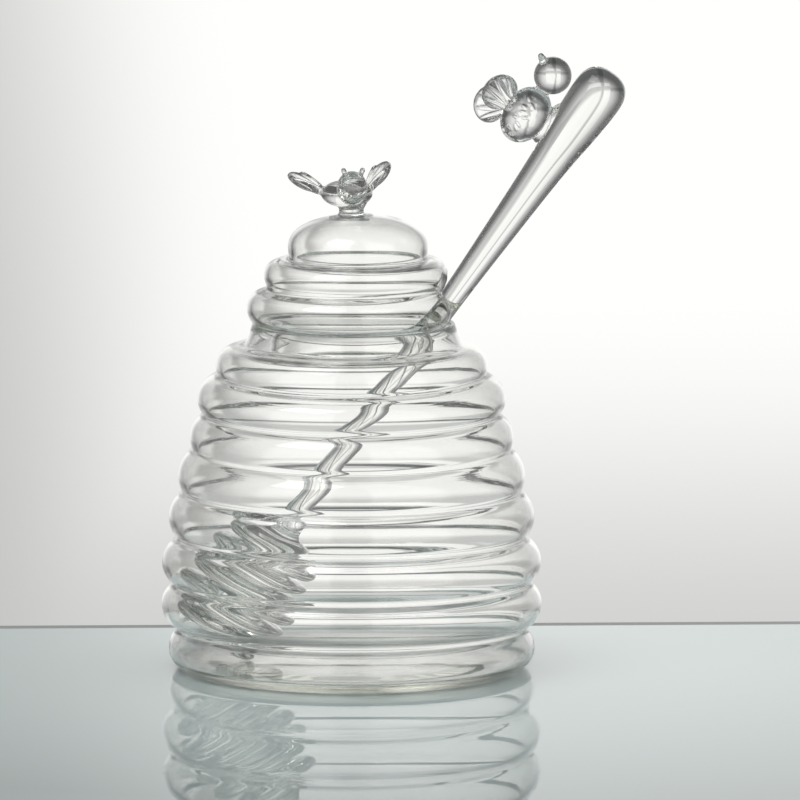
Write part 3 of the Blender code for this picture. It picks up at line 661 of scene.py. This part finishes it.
table = table_piece("table_top", TABLE_FRONT, TABLE_BACK)
table_glass = bpy.data.materials.new("pale_table_glass_with_painted_light")
table_glass.use_nodes = True
tree = table_glass.node_tree
tree.nodes.clear()
spot = add_node(tree, "ShaderNodeTexCoord")
# Painted light: the table's colour is lightest round a place just behind the pot and darker further from it.
reach = add_node(
    tree, "ShaderNodeVectorMath", {"operation": "DISTANCE", 1: PAINTED_LIGHT_MIDDLE}, {0: spot.outputs["Object"]}
)
painted_shade_share = add_node(
    tree,
    "ShaderNodeMapRange",
    {"From Min": PAINTED_LIGHT_WITHIN, "From Max": PAINTED_SHADE_BEYOND},
    {"Value": reach.outputs["Value"]},
)
tint = add_node(
    tree,
    "ShaderNodeMix",
    {"data_type": "RGBA", 6: linear("#DBE9E8"), 7: linear("#97A4A3")},
    {0: painted_shade_share.outputs["Result"]},
)
gloss = add_node(
    tree,
    "ShaderNodeBsdfPrincipled",
    {"Roughness": 0.0, "IOR": 1.52},
    {"Base Color": tint.outputs[2]},
)
add_node(tree, "ShaderNodeOutputMaterial", None, {"Surface": gloss.outputs["BSDF"]})
table.data.materials.append(table_glass)
table_edge = table_piece("table_edge", TABLE_BACK, TABLE_BACK + EDGE_DEPTH)
ground_edge = bpy.data.materials.new("ground_table_edge")
ground_edge.use_nodes = True
tree = ground_edge.node_tree
tree.nodes.clear()
matt = add_node(
    tree, "ShaderNodeBsdfPrincipled", {"Base Color": linear("#8E9491"), "Roughness": 0.35, "IOR": 1.52}
)
add_node(tree, "ShaderNodeOutputMaterial", None, {"Surface": matt.outputs["BSDF"]})
table_edge.data.materials.append(ground_edge)


# The backdrop
# A tall white card far behind the pot, whose glow is painted light: painted shade makes it a little greyer
# at its left and at its foot. It and the wall round it are lit in one soft spot straight behind the pot, and
# fall away to grey on all sides; on the card that spot is painted into its glow, on the wall it is the
# world's light.
CARD_PLACE = (0, 4.3, -0.2)
CARD_SIZE = (2.4, 2.6)
# The spot: white within one angle off its middle and dark beyond another, in radians. It is wider than high.
SPOT_MIDDLE = (0.05, 0.9987, 0.0)
SPOT_SQUASH = 1.35
WHITE_WITHIN = 0.19
DARK_BEYOND = 0.80
DARK_TONE = 0.13
# The tones of the two grey parts. White is a little over 1, because the smooth minimum takes some off.
LEFT_SHADOW_TONE = 0.56
FOOT_SHADE_TONE = 0.64
WHITE_TONE = 1.03


def wall_tone(tree, way):
    """How bright the lit wall is along a way from the pot: white straight behind it, darker further off."""
    stretched = add_node(
        tree, "ShaderNodeVectorMath", {"operation": "MULTIPLY", 1: (1.0, 1.0, SPOT_SQUASH)}, {0: way}
    )
    unit = add_node(
        tree, "ShaderNodeVectorMath", {"operation": "NORMALIZE"}, {0: stretched.outputs["Vector"]}
    )
    facing = add_node(
        tree,
        "ShaderNodeVectorMath",
        {"operation": "DOT_PRODUCT", 1: SPOT_MIDDLE},
        {0: unit.outputs["Vector"]},
    )
    angle = add_node(tree, "ShaderNodeMath", {"operation": "ARCCOSINE"}, {0: facing.outputs["Value"]})
    spread = add_node(
        tree,
        "ShaderNodeMapRange",
        {
            "interpolation_type": "SMOOTHSTEP",
            "From Min": WHITE_WITHIN,
            "From Max": DARK_BEYOND,
            "To Min": 1.0,
            "To Max": DARK_TONE,
        },
        {"Value": angle.outputs["Value"]},
    )
    axes = add_node(tree, "ShaderNodeSeparateXYZ", None, {"Vector": unit.outputs["Vector"]})
    off_level = add_node(tree, "ShaderNodeMath", {"operation": "ABSOLUTE"}, {0: axes.outputs["Z"]})
    slanted = add_node(
        tree,
        "ShaderNodeMath",
        {"operation": "MULTIPLY_ADD", 1: -0.12},
        {0: off_level.outputs["Value"], 2: axes.outputs["X"]},
    )
    left = add_node(
        tree,
        "ShaderNodeMapRange",
        {
            "interpolation_type": "SMOOTHSTEP",
            "From Min": -0.094,
            "From Max": -0.030,
            "To Min": LEFT_SHADOW_TONE,
            "To Max": WHITE_TONE,
        },
        {"Value": slanted.outputs["Value"]},
    )
    # The grey at the left is only a narrow shadow, and the wall beyond it is white again.
    far_left = add_node(
        tree,
        "ShaderNodeMapRange",
        {
            "interpolation_type": "SMOOTHSTEP",
            "From Min": -0.084,
            "From Max": -0.120,
            "To Min": LEFT_SHADOW_TONE,
            "To Max": WHITE_TONE,
        },
        {"Value": axes.outputs["X"]},
    )
    side = add_node(
        tree,
        "ShaderNodeMath",
        {"operation": "MAXIMUM"},
        {0: left.outputs["Result"], 1: far_left.outputs["Result"]},
    )
    foot = add_node(
        tree,
        "ShaderNodeMapRange",
        {
            "interpolation_type": "SMOOTHSTEP",
            "From Min": -0.225,
            "From Max": -0.140,
            "To Min": FOOT_SHADE_TONE,
            "To Max": WHITE_TONE,
        },
        {"Value": axes.outputs["Z"]},
    )
    # So is the grey at the foot: the floor below it is lit too.
    below = add_node(
        tree,
        "ShaderNodeMapRange",
        {
            "interpolation_type": "SMOOTHSTEP",
            "From Min": -0.240,
            "From Max": -0.340,
            "To Min": 0.0,
            "To Max": WHITE_TONE,
        },
        {"Value": axes.outputs["Z"]},
    )
    height = add_node(
        tree,
        "ShaderNodeMath",
        {"operation": "MAXIMUM"},
        {0: foot.outputs["Result"], 1: below.outputs["Result"]},
    )
    lower = add_node(
        tree,
        "ShaderNodeMath",
        {"operation": "SMOOTH_MIN", 2: 0.15},
        {0: side.outputs["Value"], 1: height.outputs["Value"]},
    )
    return add_node(
        tree,
        "ShaderNodeMath",
        {"operation": "MULTIPLY"},
        {0: spread.outputs["Result"], 1: lower.outputs["Value"]},
    )


bpy.ops.object.select_all(action="DESELECT")
bpy.ops.mesh.primitive_plane_add(size=1, location=CARD_PLACE, rotation=(math.pi / 2, 0, 0))
card = bpy.context.object
card.name = "backdrop_card"
card.scale = (*CARD_SIZE, 1)
bpy.ops.object.transform_apply(location=True, rotation=True, scale=True)
card_painted_light = bpy.data.materials.new("white_card_painted_light")
card_painted_light.use_nodes = True
tree = card_painted_light.node_tree
tree.nodes.clear()
spot = add_node(tree, "ShaderNodeTexCoord")
# The card is no lamp: its glow paints the light of the soft spot and the shade at its left and at its foot.
tone = wall_tone(tree, spot.outputs["Object"])
glow = add_node(
    tree, "ShaderNodeEmission", {"Color": linear("#FFFFFD")}, {"Strength": tone.outputs["Value"]}
)
add_node(tree, "ShaderNodeOutputMaterial", None, {"Surface": glow.outputs["Emission"]})
card.data.materials.append(card_painted_light)


# The light
# A studio whose side walls are dark, so that they draw the grey edges of clear glass. It has the lit wall
# behind the card, a white softbox on each side of the camera, and one soft lamp overhead.
PLAIN_LEVEL = 0.85
SOFTBOX_LEVEL = 1.1
LAMP_PLACE = (-0.5, -0.4, 1.3)
LAMP_WAY = (0.5, 0.4, -1.25)
LAMP_SIZE = 0.7
LAMP_WATTS = 4.0
world = bpy.data.worlds.new("studio_room")
bpy.context.scene.world = world
world.use_nodes = True
tree = world.node_tree
tree.nodes.clear()
ways = add_node(tree, "ShaderNodeTexCoord")
way = add_node(tree, "ShaderNodeSeparateXYZ", None, {"Vector": ways.outputs["Generated"]})
flat = add_node(tree, "ShaderNodeCombineXYZ", None, {"X": way.outputs["X"], "Y": way.outputs["Y"]})
level = add_node(tree, "ShaderNodeVectorMath", {"operation": "LENGTH"}, {0: flat.outputs["Vector"]})
facing = add_node(
    tree, "ShaderNodeMath", {"operation": "DIVIDE"}, {0: way.outputs["Y"], 1: level.outputs["Value"]}
)
behind = wall_tone(tree, ways.outputs["Generated"])
softboxes = add_node(
    tree,
    "ShaderNodeMapRange",
    {
        "interpolation_type": "SMOOTHSTEP",
        "From Min": -0.30,
        "From Max": -0.50,
        "To Min": 0.0,
        "To Max": SOFTBOX_LEVEL,
    },
    {"Value": facing.outputs["Value"]},
)
between = add_node(
    tree,
    "ShaderNodeMapRange",
    {"From Min": -0.980, "From Max": -0.965, "To Min": 0.25, "To Max": 1.0},
    {"Value": facing.outputs["Value"]},
)
front = add_node(
    tree,
    "ShaderNodeMath",
    {"operation": "MULTIPLY"},
    {0: softboxes.outputs["Result"], 1: between.outputs["Result"]},
)
ceiling = add_node(
    tree,
    "ShaderNodeMapRange",
    {
        "interpolation_type": "SMOOTHSTEP",
        "From Min": 0.55,
        "From Max": 0.95,
        "To Min": 1.0,
        "To Max": 0.7,
    },
    {"Value": way.outputs["Z"]},
)
raised = add_node(
    tree,
    "ShaderNodeMath",
    {"operation": "MULTIPLY"},
    {0: front.outputs["Value"], 1: ceiling.outputs["Result"]},
)
room = add_node(
    tree, "ShaderNodeMath", {"operation": "ADD"}, {0: behind.outputs["Value"], 1: raised.outputs["Value"]}
)
ray = add_node(tree, "ShaderNodeLightPath")
through = add_node(
    tree,
    "ShaderNodeMath",
    {"operation": "MAXIMUM"},
    {0: ray.outputs["Is Glossy Ray"], 1: ray.outputs["Is Transmission Ray"]},
)
# Light that has already met a matt surface comes at the plain level, also through the glass.
direct = add_node(
    tree, "ShaderNodeMath", {"operation": "LESS_THAN", 1: 0.5}, {0: ray.outputs["Diffuse Depth"]}
)
shown = add_node(
    tree,
    "ShaderNodeMath",
    {"operation": "MULTIPLY"},
    {0: through.outputs["Value"], 1: direct.outputs["Value"]},
)
lit = add_node(
    tree,
    "ShaderNodeMix",
    {"data_type": "FLOAT", 2: PLAIN_LEVEL},
    {0: shown.outputs["Value"], 3: room.outputs["Value"]},
)
seen = add_node(
    tree,
    "ShaderNodeMix",
    {"data_type": "FLOAT", 3: 1.0},
    {0: ray.outputs["Is Camera Ray"], 2: lit.outputs[0]},
)
sky = add_node(tree, "ShaderNodeBackground", None, {"Strength": seen.outputs[0]})
add_node(tree, "ShaderNodeOutputWorld", None, {"Surface": sky.outputs["Background"]})

bpy.ops.object.light_add(type="AREA", location=LAMP_PLACE)
lamp = bpy.context.object
lamp.name = "overhead_softbox"
lamp.data.shape = "SQUARE"
lamp.data.size = LAMP_SIZE
lamp.data.energy = LAMP_WATTS
lamp.rotation_euler = Vector(LAMP_WAY).to_track_quat("-Z", "Y").to_euler()


# The camera
# It stands three metres in front and half a metre up, with a long lens, and looks a little down at the pot.
# The lens and the sensor's width are in millimetres.
CAMERA_PLACE = (0.0138, -3.0, 0.5099)
CAMERA_TILT = 8.2133
CAMERA_LENS = 478.8
SENSOR_WIDTH = 36
bpy.ops.object.camera_add(location=CAMERA_PLACE, rotation=(math.radians(90 - CAMERA_TILT), 0, 0))
camera = bpy.context.object
camera.data.sensor_width = SENSOR_WIDTH
camera.data.lens = CAMERA_LENS
camera.data.clip_start = 0.1
camera.data.clip_end = 60
scene = bpy.context.scene
scene.camera = camera
scene.view_settings.view_transform = "Standard"
# Light runs many times to and fro inside the pot's floor before it comes out.
scene.cycles.max_bounces = 64
scene.cycles.transmission_bounces = 48
scene.cycles.glossy_bounces = 48
scene.cycles.transparent_max_bounces = 16
